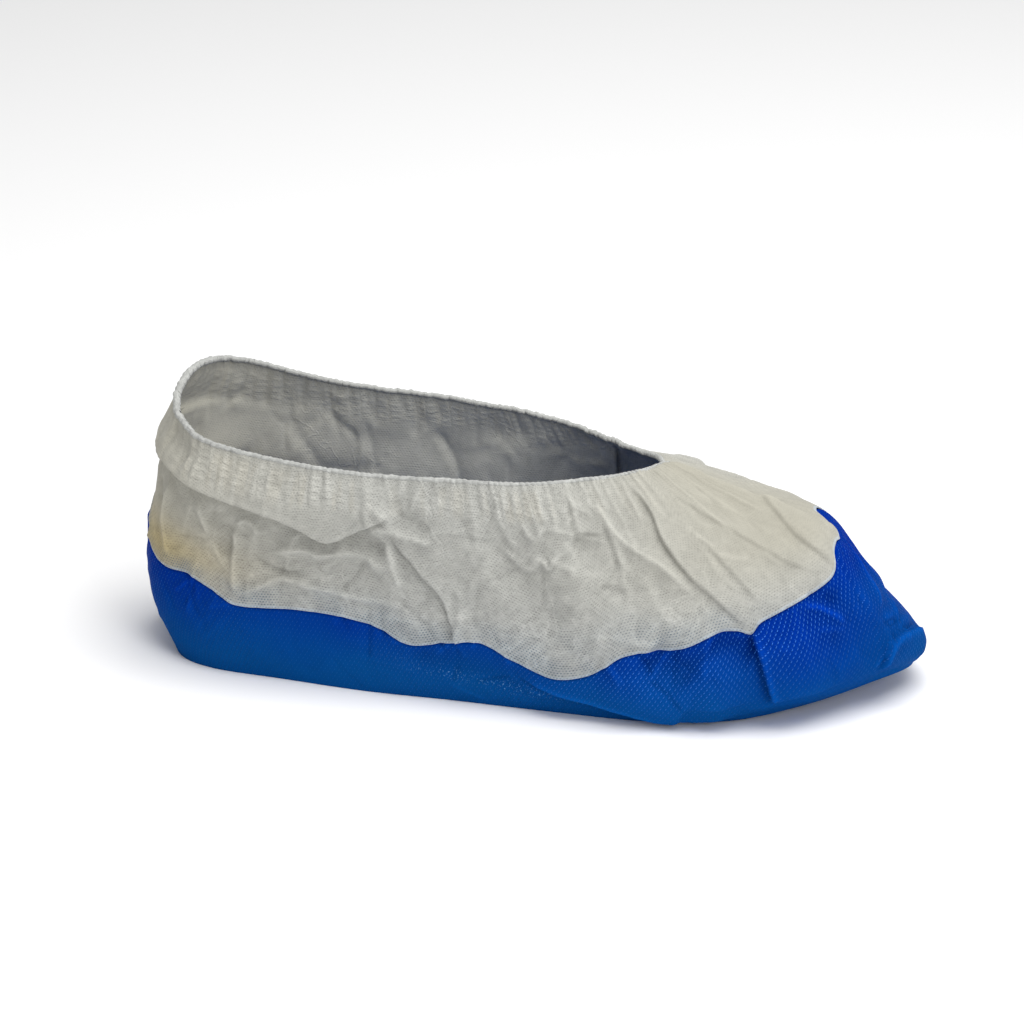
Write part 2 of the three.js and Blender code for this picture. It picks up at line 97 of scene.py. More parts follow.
# the slumped cuff's lip: section, share of the height, how far it stands out
cuffLip = np.array([
    (0.0, 0.8, 4.6), (1.3, 0.8, 5), (1.9, 0.79, 6), (2.4, 0.775, 6), (3.0, 0.75, 6),
    (3.3, 0.72, 6), (3.58, 0.68, 6), (3.8, 0.697, 4.6), (4.0, 0.735, 3.4), (4.2, 0.77, 1.8),
    (4.4, 0.8, 0.5), (4.6, 0.8, 0), (11.0, 0.76, 0), (17.2, 0.78, 0), (18.6, 0.8, 2.0),
])

# Folds: name, kind, width, depth, overlap, and the line as (section, share of the height).
# A ridge stands proud on both sides of its line, a crease does so with a sharp crest, and a pleat
# is raised on the right of it and laps over it by the overlap.
folds = [
    # toe and vamp
    ("notchPleat", "pleat", 14, 2.8, 0.8, [(8.26, 0.39), (7.94, 0.52), (7.72, 0.61), (7.64, 0.72),
        (7.74, 0.84), (7.66, 0.96)]),
    ("vampCrest", "crease", 7, 2.8, 0, [(7.75, 0.52), (7.45, 0.64), (7.1, 0.735), (6.95, 0.84),
        (6.92, 0.92)]),
    ("vampStrand", "crease", 5, 1.2, 0, [(6.9, 0.55), (6.96, 0.68), (6.95, 0.84)]),
    ("vampHollow", "ridge", 7, -2.2, 0, [(9.1, 0.5), (8.85, 0.58), (8.68, 0.7)]),
    ("vampPanel", "pleat", 9, 1.4, 0.3, [(8.5, 0.46), (8.3, 0.59), (8.22, 0.68)]),
    ("vampSliver", "crease", 3, 1.3, 0, [(8.32, 0.665), (8.18, 0.73)]),
    ("vampTuck", "crease", 4, 1.1, 0, [(8.26, 0.65), (8.45, 0.625), (8.7, 0.6)]),
    ("longPleat", "pleat", 7, 1.2, 0.3, [(9.55, 0.49), (9.16, 0.56), (8.87, 0.69), (8.68, 0.77),
        (8.4, 0.92)]),
    ("toeHollow", "ridge", 7, -1.8, 0, [(9.53, 0.55), (9.46, 0.64), (9.5, 0.73), (9.75, 0.84),
        (9.9, 0.93)]),
    ("toePleat", "pleat", 9, 1.7, 0.5, [(9.85, 0.48), (9.66, 0.58), (9.7, 0.65), (10.0, 0.72),
        (10.8, 0.82)]),
    ("topPanel", "pleat", 9, 1.6, 0.4, [(10.57, 0.77), (10.35, 0.7), (10.45, 0.63), (10.58, 0.54)]),
    # ball and waist
    ("boxPleat", "pleat", 7, 1.7, 0.8, [(6.5, 0.9), (6.47, 0.83), (6.46, 0.77), (6.38, 0.68)]),
    ("boxTop", "pleat", 5, 1.4, 0.6, [(6.85, 0.77), (6.63, 0.78), (6.46, 0.775)]),
    ("boxShade", "ridge", 5, -1.8, 0, [(6.5, 0.77), (6.58, 0.71), (6.5, 0.62)]),
    ("ballNick", "crease", 3, -1.1, 0, [(6.62, 0.595), (6.93, 0.57)]),
    ("waistValley", "ridge", 9, -3, 0, [(5.38, 0.76), (5.56, 0.69), (5.68, 0.6), (6.0, 0.48), (6.2, 0.42)]),
    ("waistCrest", "ridge", 8, 2, 0, [(5.2, 0.76), (5.4, 0.64), (5.56, 0.56), (5.8, 0.48)]),
    ("ballCrest", "ridge", 10, 2.2, 0, [(6.3, 0.7), (6.45, 0.58), (6.6, 0.5), (6.5, 0.34)]),
    ("bandEdge", "pleat", 6, 0.9, 0.2, [(5.6, 0.735), (5.2, 0.755), (4.7, 0.75)]),
    ("waistTuck1", "crease", 2.5, 1.9, 0, [(5.55, 0.73), (5.64, 0.7), (5.83, 0.645), (6.0, 0.68),
        (6.1, 0.655), (6.2, 0.69), (6.45, 0.735)]),
    ("waistTuck2", "crease", 2.5, 1.1, 0, [(5.8, 0.69), (6.0, 0.68), (6.1, 0.655)]),
    ("waistTuck3", "crease", 2.5, 1.3, 0, [(6.1, 0.7), (6.22, 0.67), (6.4, 0.645)]),
    ("waistTuck4", "crease", 2.5, 1.0, 0, [(6.15, 0.705), (6.38, 0.745)]),
    ("waistTuck5", "crease", 2.5, 0.9, 0, [(6.22, 0.665), (6.1, 0.62)]),
    ("bandVee", "crease", 2.5, 1.2, 0, [(5.86, 0.83), (5.98, 0.755), (6.16, 0.81)]),
    ("ballLine", "crease", 2.5, 0.8, 0, [(5.95, 0.3), (6.16, 0.35), (6.4, 0.4)]),
    # shank
    ("kiteShade", "ridge", 5, -2.4, 0, [(4.36, 0.9), (4.55, 0.8), (4.8, 0.725)]),
    ("kiteFoot", "crease", 5, 2.6, 0, [(4.15, 0.765), (4.45, 0.745), (4.85, 0.71)]),
    ("kiteSide", "crease", 5, 2.2, 0, [(4.08, 0.77), (4.3, 0.7), (4.42, 0.58)]),
    ("tuft", "ridge", 5, 2.6, 0, [(4.0, 0.8), (4.2, 0.81), (4.42, 0.78)]),
    ("tuftTuck", "crease", 3, -0.5, 0, [(3.8, 0.74), (4.05, 0.79), (4.26, 0.835)]),
    ("shankOverlap", "pleat", 12, 2.9, 1.6, [(5.2, 0.2), (5.0, 0.43), (4.88, 0.51), (4.73, 0.56),
        (4.5, 0.66), (4.3, 0.74)]),
    ("shankCrest", "crease", 6, 2.2, 0, [(4.46, 0.5), (4.37, 0.59), (4.28, 0.71)]),
    ("slump", "crease", 6, 3.4, 0, [(2.8, 0.55), (3.1, 0.6), (3.35, 0.62), (3.5, 0.605), (3.75, 0.63),
        (4.0, 0.64), (4.2, 0.6), (4.36, 0.55)]),
    ("slumpShade", "ridge", 5, -2.0, 0, [(3.75, 0.69), (4.05, 0.7), (4.3, 0.64)]),
    ("hemDoubled", "layer", 4, 0.3, 0, [(2.3, 0.315), (2.7, 0.355), (3.1, 0.4), (3.7, 0.39), (4.2, 0.37),
        (4.75, 0.35)]),
    ("shankDoubled", "layer", 5, 0.25, 0, [(5.2, 0.34), (5.1, 0.44), (5.0, 0.53), (4.82, 0.6)]),
    ("slumpStrand", "crease", 4, 1.1, 0, [(3.5, 0.53), (3.76, 0.61)]),
    ("fineTuck", "crease", 3, -1.4, 0, [(2.66, 0.545), (2.87, 0.5), (3.08, 0.487), (3.34, 0.5)]),
    ("hemRoll", "crease", 3, 2.4, 0, [(2.42, 0.34), (2.68, 0.38), (2.86, 0.42), (3.05, 0.46),
        (3.31, 0.45), (3.7, 0.44), (4.1, 0.43), (4.5, 0.42)]),
    # heel
    ("quarterCrest", "crease", 4, 2.6, 0, [(2.49, 0.34), (2.48, 0.5), (2.5, 0.67)]),
    ("quarterHook", "crease", 3, 2.2, 0, [(2.5, 0.66), (2.62, 0.7), (2.73, 0.68), (2.82, 0.64)]),
    ("heelCrest", "crease", 5, 2.2, 0, [(1.48, 0.42), (1.38, 0.5), (1.24, 0.6), (1.34, 0.76)]),
    ("heelSlant", "crease", 6, 2.0, 0, [(2.42, 0.43), (2.22, 0.55), (2.09, 0.63), (2.0, 0.75)]),
    ("heelShade", "ridge", 6, -1.8, 0, [(2.45, 0.5), (2.3, 0.62), (2.2, 0.72)]),
    ("cuffDip", "ridge", 5, -2.2, 0, [(1.0, 0.93), (1.5, 0.915), (1.8, 0.875)]),
    # film
    ("filmCrease", "pleat", 12, 5, 1.2, [(8.47, 0.12), (8.32, 0.3), (8.25, 0.4)]),
    ("seamHollow", "ridge", 6, -2.4, 0, [(4.5, 0.25), (4.8, 0.215), (5.1, 0.22), (5.6, 0.19), (6.0, 0.17)]),
    ("ballHollow", "ridge", 8, -4, 0, [(7.05, 0.4), (7.27, 0.33), (7.5, 0.25)]),
    ("swellCrest", "ridge", 8, 2.2, 0, [(6.5, 0.26), (7.0, 0.23), (7.3, 0.16), (7.48, 0.12)]),
    ("filmSwell", "pleat", 12, 4.2, 1.0, [(8.15, 0.03), (7.8, 0.028), (7.45, 0.034), (7.14, 0.055),
        (6.52, 0.125), (6.18, 0.155), (5.6, 0.21)]),
    ("swellEnd", "crease", 9, -0.7, 0, [(7.05, 0.29), (7.27, 0.22), (7.45, 0.15)]),
    ("notchHollow", "ridge", 7, -3.4, 0, [(7.75, 0.41), (8.02, 0.35), (8.25, 0.32)]),
    ("filmBulge", "ridge", 11, 2.4, 0, [(7.6, 0.34), (7.75, 0.24), (7.8, 0.12)]),
    ("toeBulge", "ridge", 12, 2.6, 0, [(8.7, 0.38), (8.85, 0.26), (8.9, 0.14)]),
    ("rimHollow", "ridge", 6, -2.4, 0, [(9.1, 0.44), (9.3, 0.42), (9.5, 0.38)]),
    ("rimCrest", "crease", 7, 2, 0, [(9.06, 0.43), (9.3, 0.405), (9.58, 0.34)]),
    ("lowCrest", "crease", 6, 0.8, 0, [(9.1, 0.36), (9.55, 0.33)]),
    ("sideCrest", "ridge", 8, 1.4, 0, [(9.6, 0.34), (10.3, 0.37), (11.2, 0.42)]),
    ("softStreak", "ridge", 5, 1.3, 0, [(9.2, 0.22), (9.65, 0.245)]),
    ("toeNick", "crease", 3, -0.7, 0, [(10.15, 0.3), (10.75, 0.28)]),
    ("toeLine1", "crease", 5, 0.9, 0, [(10.22, 0.31), (10.63, 0.31), (11.0, 0.33)]),
    ("toeLine2", "crease", 5, 0.8, 0, [(10.5, 0.28), (11.2, 0.27)]),
    ("toeCornerTuck", "pleat", 10, 3.8, 1.1, [(9.89, 0.14), (10.14, 0.23), (10.54, 0.25), (11.4, 0.22)]),
    ("sideTuck", "pleat", 9, 1.5, 0.4, [(11.6, 0.46), (10.9, 0.37), (10.6, 0.28), (10.5, 0.2)]),
    ("sideEdge", "crease", 6, 1.0, 0, [(10.6, 0.53), (10.5, 0.43), (10.25, 0.32)]),
    ("tuckCrest", "crease", 6, 1.0, 0, [(10.3, 0.265), (9.8, 0.17)]),
    # inner side
    ("innerToePleat", "pleat", 12, 1.6, 0.5, [(12.0, 0.8), (12.2, 0.66), (12.4, 0.45)]),
    ("innerVampPleat", "pleat", 13, 2.8, 1.0, [(13.25, 0.76), (13.3, 0.62), (13.4, 0.36)]),
    ("innerVampCrest", "crease", 6, 1.6, 0, [(12.8, 0.82), (12.8, 0.66), (12.6, 0.5)]),
    ("innerBallPleat", "pleat", 13, 3.5, 1.2, [(14.3, 0.9), (14.6, 0.66), (14.7, 0.3)]),
    ("innerHollow", "ridge", 12, -3, 0, [(15.6, 0.85), (15.7, 0.6), (15.6, 0.36)]),
    ("innerWaistCrest", "crease", 6, 2.2, 0, [(16.3, 0.84), (16.1, 0.62), (16.2, 0.4)]),
    ("innerSlump", "crease", 8, 2.5, 0, [(18.3, 0.6), (17.5, 0.55), (16.6, 0.62)]),
    ("innerHeelCrest", "crease", 6, 2.0, 0, [(18.6, 0.76), (18.8, 0.58), (18.6, 0.4)]),
    ("innerHem", "crease", 4, 1.6, 0, [(18.2, 0.4), (17.4, 0.4), (16.8, 0.42)]),
    ("innerFilmFold", "pleat", 12, 2.4, 0.5, [(13.9, 0.06), (13.6, 0.2), (13.4, 0.36)]),
    ("innerFilmHollow", "ridge", 8, -2.6, 0, [(14.6, 0.3), (14.9, 0.2), (15.4, 0.16)]),
]

sectionCount = len(sections)
levelCount = sections.shape[1]


def cubicThrough(a, b, c, d, t):
    # Catmull-Rom: the cubic from b to c with slopes of half of c - a and half of d - b
    return b + 0.5 * t * (c - a + t * (2 * a - 5 * b + 4 * c - d + t * (3 * (b - c) + d - a)))


def closedCurve(points, place):
    # the cubic through a closed ring of points, at any place along it
    i = np.floor(place).astype(int)
    around = [points[(i + k) % len(points)] for k in (-1, 0, 1, 2)]
    return cubicThrough(*around, (place - i)[..., None])


def openCurve(points, steps):
    # the cubic through all the points, with straight run-outs at both ends
    points = np.asarray(points, float)
    padded = np.concatenate([[2 * points[0] - points[1]], points, [2 * points[-1] - points[-2]]])
    place = np.linspace(0, len(points) - 1, steps * (len(points) - 1) + 1)
    i = np.minimum(place.astype(int), len(points) - 2)
    return cubicThrough(*[padded[i + k] for k in range(4)], (place - i)[:, None])


def smoothWall(section, up):
    # the wall before any fold: a closed cubic round the cover at each level, a cubic up across them
    section, up = np.broadcast_arrays(section, up)
    rails = np.stack([closedCurve(sections[:, k], section) for k in range(levelCount)])
    rails = np.concatenate([[2 * rails[0] - rails[1]], rails, [2 * rails[-1] - rails[-2]]])
    place = np.clip(up, 0, 1) * (levelCount - 1)
    i = np.minimum(place.astype(int), levelCount - 2)
    pick = [np.take_along_axis(rails, (i + k)[None, ..., None], 0)[0] for k in range(4)]
    return cubicThrough(*pick, (place - i)[..., None])


def readTable(rows, column, section):
    # cubic through one column of a table that runs once round the cover
    at = np.concatenate([rows[-2:, 0] - sectionCount, rows[:, 0], rows[:2, 0] + sectionCount])
    value = np.concatenate([rows[-2:, column], rows[:, column], rows[:2, column]])
    slope = np.zeros_like(value)
    slope[1:-1] = (value[2:] - value[:-2]) / (at[2:] - at[:-2])
    place = np.mod(section, sectionCount)
    i = np.searchsorted(at, place, side="right") - 1
    span = at[i + 1] - at[i]
    t = (place - at[i]) / span
    lean = span * (t * (1 - t) ** 2 * slope[i] - t * t * (1 - t) * slope[i + 1])
    return value[i] + (value[i + 1] - value[i]) * t * t * (3 - 2 * t) + lean


def ease(value, low, high):
    # 0 below low and 1 above high, with 3 t squared less 2 t cubed between them
    t = np.clip((value - low) / (high - low), 0, 1)
    return t * t * (3 - 2 * t)


def bell(value, middle, reach, power=2):
    # 1 in the middle, falling as e to the minus (distance over reach) to the power
    return np.exp(-(np.abs((value - middle) / reach) ** power))


def unit(vector):
    # each vector over its own length
    return vector / np.maximum(np.linalg.norm(vector, axis=-1, keepdims=True), 1e-9)


def wallAxes(section, up):
    # points of the smooth wall, with the directions up it and straight out of it
    around = smoothWall(section + 0.02, up) - smoothWall(section - 0.02, up)
    rising = smoothWall(section, np.minimum(up + 0.01, 1)) - smoothWall(section, np.maximum(up - 0.01, 0))
    return smoothWall(section, up), unit(rising), unit(np.cross(around, rising))


def spacedSections(start, end, count):
    # sections at even steps of length along the wall's middle height, and those lengths
    fine = np.linspace(start, end, 1500)
    path = smoothWall(fine, 0.5)
    length = np.concatenate([[0], np.cumsum(np.linalg.norm(np.diff(path, axis=0), axis=-1))])
    even = np.linspace(0, length[-1], count, endpoint=False)
    return np.interp(even, length, fine), even, length[-1]


# half of the columns lie on each side of the foot
columns = cover["columns"]
halfCount = columns // 2
outerHalf = spacedSections(0, cover["toeSection"], halfCount)
innerHalf = spacedSections(cover["toeSection"], sectionCount, halfCount)
columnSection = np.concatenate([outerHalf[0], innerHalf[0]])
columnAround = np.concatenate([outerHalf[1], outerHalf[2] + innerHalf[1]])
roundLength = outerHalf[2] + innerHalf[2]
closedSection = np.append(columnSection, sectionCount)
closedAround = np.append(columnAround, roundLength)
fromHeel = np.minimum(columnSection, sectionCount - columnSection)
weldUp = readTable(weldLine, 1, columnSection)
lipUp = readTable(cuffLip, 1, columnSection)


def lumps(around, height, size, seed):
    # smooth random hills from -1 to 1: a lattice of random heights joined by an eased blend
    cells, latticeRows, startRow = max(4, round(roundLength / size)), 128, 50
    lattice = np.random.default_rng(seed).uniform(-1, 1, (latticeRows, cells))
    x, y = around * cells / roundLength, height / size + startRow
    i, j = np.floor(x).astype(int), np.floor(y).astype(int)
    tx, ty = ease(x - i, 0, 1), ease(y - j, 0, 1)
    corner = lambda a, b: lattice[(j + b) % latticeRows, (i + a) % cells]
    low = corner(0, 0) * (1 - tx) + corner(1, 0) * tx
    high = corner(0, 1) * (1 - tx) + corner(1, 1) * tx
    return low * (1 - ty) + high * ty


def crinkle(around, height, size, seed):
    # creased film or paper: sharp crests where warped random hills cross their middle height
    drift = 0.6 * size * lumps(around, height, 1.7 * size, seed + 1)
    climb = 0.6 * size * lumps(around, height, 1.7 * size, seed + 2)
    first = 1 - np.abs(lumps(around + drift, height + climb, size, seed + 3)) * 2
    second = 1 - np.abs(lumps(around - climb, height + drift, 0.6 * size, seed + 4)) * 2
    return 0.7 * first + 0.3 * second


def nearestOnLine(points, line):
    # distance from each point to a broken line, the way from it, the line's run and the share along
    run = np.diff(line, axis=0)
    offset = points[:, None] - line[:-1]
    share = np.clip((offset * run).sum(-1) / (run * run).sum(-1), 0, 1)
    offset = offset - share[..., None] * run
    distance = np.linalg.norm(offset, axis=-1)
    best = distance.argmin(1)
    row = np.arange(len(points))
    return distance[row, best], offset[row, best], run[best], (best + share[row, best]) / len(run)


def pleatProfile(side, width, depth, edge):
    # a step whose high side falls back over the width, and whose foot is drawn in a little
    raised = 0.5 + 0.5 * np.tanh(side / edge)
    high = 0.65 * raised * np.exp(-np.maximum(side, 0) / width)
    return depth * (high - 0.35 * (1 - raised) * np.exp(np.minimum(side, 0) / (0.6 * width)))


def lapProfile(side, overlap, edge):
    # how far the cloth slides across a pleat's line, so that the raised side hangs over the foot
    raised = 0.5 + 0.5 * np.tanh(side / edge)
    over = raised * np.exp(-np.maximum(side, 0) / (3 * overlap + 0.1))
    under = 0.6 * (1 - raised) * np.exp(np.minimum(side, 0) / (3 * overlap + 0.1))
    return overlap * (under - over)


def layFold(shift, marks, points, normals, line, kind, width, depth, overlap):
    # adds one fold to the grid's shift, only where the grid comes near the fold's line; marks are painted
    # highlight on the crests, whiter doubled cloth, and painted shade at the feet
    reach = width + 3 if kind == "layer" else 3 * width
    near = np.all((points > line.min(0) - reach) & (points < line.max(0) + reach), axis=-1)
    if not near.any():
        return
    normal = normals[near]
    distance, away, run, along = nearestOnLine(points[near], line)
    fade = ease(np.minimum(along, 1 - along), 0, 0.18) * ease(reach - distance, 0, 0.4 * reach)
    share = min(1.0, abs(depth) / (2.4 if kind == "crease" else 4.5)) * np.sign(depth)
    if kind == "pleat":
        across = unit(np.cross(run, normal))
        side = distance * np.where((away * across).sum(-1) < 0, -1.0, 1.0)
        rise = pleatProfile(side, width, depth, cover["creaseEdge"])
        shift[near] += (fade * rise)[:, None] * normal
        shift[near] += (fade * lapProfile(side, overlap, cover["creaseEdge"]))[:, None] * across
        marks[near] += fade * share * (bell(side, 1.2, 1.3) - 0.75 * bell(side, -1.1, 1.3))
    elif kind == "crease":
        rise = depth * np.exp(-(np.sqrt(distance ** 2 + 0.25) - 0.5) / (0.36 * width))
        shift[near] += (fade * rise)[:, None] * normal
        beside = bell(distance, 0.8 * width, 0.5 * width)
        marks[near] += fade * share * (1.7 * bell(distance, 0, 0.8) - 0.35 * beside)
    elif kind == "ridge":
        hill = bell(distance, 0, width)
        shift[near] += (fade * depth * hill)[:, None] * normal
        marks[near] += 0.3 * fade * share * hill
    else:
        marks[near] += depth * fade * (0.5 + 0.5 * np.tanh((width - distance) / 0.5))


# Small folds that fill the cloth, drawn once from the seed: (line, kind, width, depth, overlap).
smallFolds = {
    "gathers": {"steps": (3.0, 8.0), "depths": (0.4, 1.1), "widths": (1.8, 4.0)},
    "cloth": {
        "count": 230, "low": 0.3, "high": 0.95, "length": (10, 32),
        "depths": (0.3, 0.9), "widths": (2.0, 4.5), "steep": 0.6,
    },
    "film": {
        "count": 80, "low": 0.04, "high": 0.42, "length": (8, 26),
        "depths": (0.15, 0.45), "widths": (2.5, 5.0), "steep": 0.3,
    },
}


sectionPitch = 34  # mm from one section to the next, on average


def drawGathers(draw, steps, depths, widths):
    # short creases that hang from the rim at random steps, longer over the toe, calmer at the heel
    rows = []
    place = 0.0
    while place < roundLength:
        section = np.interp(place, closedAround, closedSection)
        overToe = bell(section, cover["toeSection"] - 0.5, 2.6)
        reach = draw.uniform(0.1, 0.27) + overToe * draw.uniform(0.0, 0.14)
        lean = draw.uniform(-0.09, 0.09) * (1 - 0.5 * overToe)
        chart = [(section, 1.03), (section + 0.5 * lean, 1 - 0.5 * reach), (section + lean, 1 - reach)]
        depth = draw.uniform(*depths) * (1 - 0.7 * bell(min(section, sectionCount - section), 0, 1.3))
        rows.append((chart, "crease", draw.uniform(*widths), depth, 0))
        place += draw.uniform(*steps)
    return rows


def drawCrumples(draw, count, low, high, length, depths, widths, steep):
    # short bent creases at random places and turns, fewer deep ones over the toe and on the cuff
    rows = []
    for _ in range(count):
        section = draw.uniform(0, sectionCount)
        up = draw.uniform(low, high)
        turn = draw.uniform(-math.pi / 2, math.pi / 2) * (1 - steep * draw.uniform(0, 1))
        size = draw.uniform(*length) / 2
        across, rise = math.sin(turn) * size / sectionPitch, math.cos(turn) * size / cover["heightScale"]
        bend = draw.uniform(-0.2, 0.2) * size / sectionPitch
        chart = [(section - across, up - rise), (section + bend, up), (section + across, up + rise)]
        depth = draw.uniform(*depths) * (1 if draw.uniform() < 0.62 else -1)
        depth *= 1 - 0.65 * bell(section, 10, 2.4, 4)
        depth *= 1 - 0.7 * bell(min(section, sectionCount - section), 0, 1.5, 4) * (up > 0.75)
        rows.append((chart, "crease", draw.uniform(*widths), depth, 0))
    return rows


draw = np.random.default_rng(cover["seed"])
gathers = drawGathers(draw, **smallFolds["gathers"])
clothCrumples = drawCrumples(draw, **smallFolds["cloth"])
filmCrumples = drawCrumples(draw, **smallFolds["film"])
mainFolds = [(line, kind, width, depth, overlap) for _, kind, width, depth, overlap, line in folds]
allFolds = mainFolds + gathers + clothCrumples + filmCrumples


def foldedWall(section, up):
    # the smooth wall moved by all folds, the cuff's lip, gathers and small hills, and the marks of painted
    # highlight and shade along them
    points, rising, normals = wallAxes(section, up)
    shift, marks = np.zeros_like(points), np.zeros(points.shape[:2])
    for chart, kind, width, depth, overlap in allFolds:
        line = openCurve(chart, 6 if len(chart) > 3 or kind == "pleat" else 3)
        line = smoothWall(np.mod(line[:, 0], sectionCount), line[:, 1])
        layFold(shift, marks, points, normals, line, kind, width, depth, overlap)
    onCloth = ease(up - readTable(weldLine, 1, section), -0.02, 0.04)[..., None]
    shift *= cover["filmGain"] + (cover["clothGain"] - cover["filmGain"]) * onCloth
    # the cuff's lip
    side = (up - readTable(cuffLip, 1, section) - 0.02) * cover["heightScale"]
    stand = np.maximum(0, readTable(cuffLip, 2, section))
    edge = cover["creaseEdge"]
    shift += pleatProfile(side, cover["gatherReach"], stand, edge)[..., None] * normals
    shift += (0.6 * stand * lapProfile(side, cover["lipSpread"], edge))[..., None] * rising
    # painted highlight on the lip's roll and painted shadow under it
    marks += stand / 7 * (bell(side, 1.5, 1.6) - 1.5 * bell(side, -1.0, 1.4))
    # fine gathers, soft hills and creased cloth
    path = np.broadcast_to(np.interp(section, closedSection, closedAround), up.shape)
    height = up * cover["heightScale"]
    overToe = bell(section, cover["toeSection"] - 0.5, 3)
    reach = cover["gatherReach"] + (cover["toeGatherReach"] - cover["gatherReach"]) * overToe
    fade = np.exp(-(1 - up) * cover["heightScale"] / (0.6 * reach))
    wander = 1.1 * lumps(path, height, 9, 31)
    wave = fade * np.sin(2 * math.pi * (path + wander) / cover["gatherPitch"])
    deep, size, seed = cover["crinkles"]
    small = cover["gatherHeight"] * wave + deep * crinkle(path, height, size, seed)
    small += sum(deep * lumps(path, height, size, seed) for deep, size, seed in cover["softHills"])
    shift += small[..., None] * normals
    marks += cover["gatherShade"] * wave
    points = points + ease(up, 0, cover["bottomBlend"])[..., None] * shift
    points[..., 2] = np.maximum(points[..., 2], 0)
    return points, np.clip(marks, -1.5, 1.5)


def gridNormals(points):
    # the cross product of the steps round and up the grid
    around = np.roll(points, -1, 1) - np.roll(points, 1, 1)
    rising = np.gradient(points, axis=0)
    return unit(np.cross(around, rising))


def spread(*parts):
    # stacks of even steps from one height to the next: (from, to, steps), with the last end left out
    share = lambda steps: np.linspace(0, 1, steps, endpoint=False)[:, None]
    return np.concatenate([low + (high - low) * share(steps) for low, high, steps in parts])


def addObject(name, data):
    # a new object that shows in the scene
    made = bpy.data.objects.new(name, data)
    bpy.context.scene.collection.objects.link(made)
    return made


def makeMesh(name, bands, attributes):
    # bands of a closed skin, each a stack of rings with its own UV; equal rings share their points
    points = np.concatenate([ring for band in bands for ring in band["new"]])
    faces = np.concatenate([band["faces"].reshape(-1, 4) for band in bands])
    uv = np.concatenate([band["uv"].reshape(-1, 2) for band in bands])
    mesh = bpy.data.meshes.new(name)
    mesh.vertices.add(len(points))
    mesh.vertices.foreach_set("co", ((points + cover["cadOrigin"]) * mm).ravel())
    mesh.loops.add(faces.size)
    mesh.loops.foreach_set("vertex_index", faces.ravel())
    mesh.polygons.add(len(faces))
    mesh.polygons.foreach_set("loop_start", np.arange(0, faces.size, 4))
    mesh.uv_layers.new(name="cloth").data.foreach_set("uv", uv.ravel())
    for key, values in attributes.items():
        values = np.resize(values, len(points))  # one ring of values serves every ring
        mesh.attributes.new(key, "FLOAT", "POINT").data.foreach_set("value", values)
    mesh.update(calc_edges=True)
    mesh.polygons.foreach_set("use_smooth", np.ones(len(faces), bool))
    mesh.validate()
    return addObject(name, mesh)


def numberRings(*stacks):
    # point numbers of stacks of rings that follow one another
    ends, count = np.cumsum([len(stack) for stack in stacks]), stacks[0].shape[1]
    return np.split(np.arange(ends[-1] * count).reshape(-1, count), ends[:-1])


def band(indices, uvAround, uvUp, new=()):
    # quads between the rings of one band; indices (rings, columns), UV given at the rings
    ring = np.concatenate([indices, indices[:, :1]], 1)
    faces = np.stack([ring[:-1, :-1], ring[:-1, 1:], ring[1:, 1:], ring[1:, :-1]], -1)
    uv = np.stack(np.broadcast_arrays(uvAround, uvUp), -1)
    uv = np.stack([uv[:-1, :-1], uv[:-1, 1:], uv[1:, 1:], uv[1:, :-1]], -2)
    return {"faces": faces, "uv": uv, "new": new}


def lengthUp(rings):
    # length along each column from its first ring, with the first column repeated at the end
    step = np.linalg.norm(np.diff(rings, axis=0), axis=-1)
    length = np.concatenate([np.zeros((1, rings.shape[1])), np.cumsum(step, axis=0)])
    return np.concatenate([length, length[:, :1]], 1)


# White upper: outer rows from the weld to the elastic, inner rows back down.
upperPiece = {
    "wall": 0.5, "bodyWall": 1.1,  # mm at the weld and the rim, and between them
    "rows": (48, 16, 24),  # below, across and above the cuff's lip
    "innerStep": 3,  # outer rows to one inner row
    "lipBand": 0.04, "lapUp": 0.055,  # shares of the height: the lip's rows, the film's lap behind
}
rimPiece = {
    "radius": 1.05, "heelSwell": 0.45, "setIn": 0.7, "sides": 12,
    "beadPitch": 2.3, "beadDepth": 0.2, "lean": 1.2,
}

rimRise = np.linalg.norm(smoothWall(columnSection, 1.0) - smoothWall(columnSection, 0.98), axis=-1) / 0.02
upperTop = 1 - rimPiece["radius"] / rimRise
lipLow = np.clip(lipUp - upperPiece["lipBand"], weldUp + 0.06, 0.9)
lipHigh = np.minimum(lipUp + upperPiece["lipBand"], 0.93)
lower, middle, upper = upperPiece["rows"]
upperUp = np.concatenate([
    spread((weldUp, lipLow, lower), (lipLow, lipHigh, middle), (lipHigh, upperTop, upper)),
    upperTop[None],
])
outerFace, outerMarks = foldedWall(columnSection, upperUp)
outerNormal = wallAxes(columnSection, upperUp)[2]


def everyFew(count, step):
    # every few rows from the last down to the first, with both of them kept
    return np.unique(np.append(np.arange(0, count, step), count - 1))[::-1]


innerRows = everyFew(len(upperUp), upperPiece["innerStep"])
inFrom = (upperUp - weldUp) * cover["heightScale"]
between = ease(inFrom, 2.5, 5) * (1 - ease(upperUp, 0.93, 0.97))
thickness = upperPiece["wall"] + (upperPiece["bodyWall"] - upperPiece["wall"]) * between
innerFace = (outerFace - thickness[..., None] * outerNormal)[innerRows]
print("upper worked out:", outerFace.shape)

outerIndex, innerIndex = numberRings(outerFace, innerFace)
upperLength = lengthUp(outerFace)
innerLength = upperLength[innerRows]
allUp = np.concatenate([upperUp, upperUp[innerRows]])

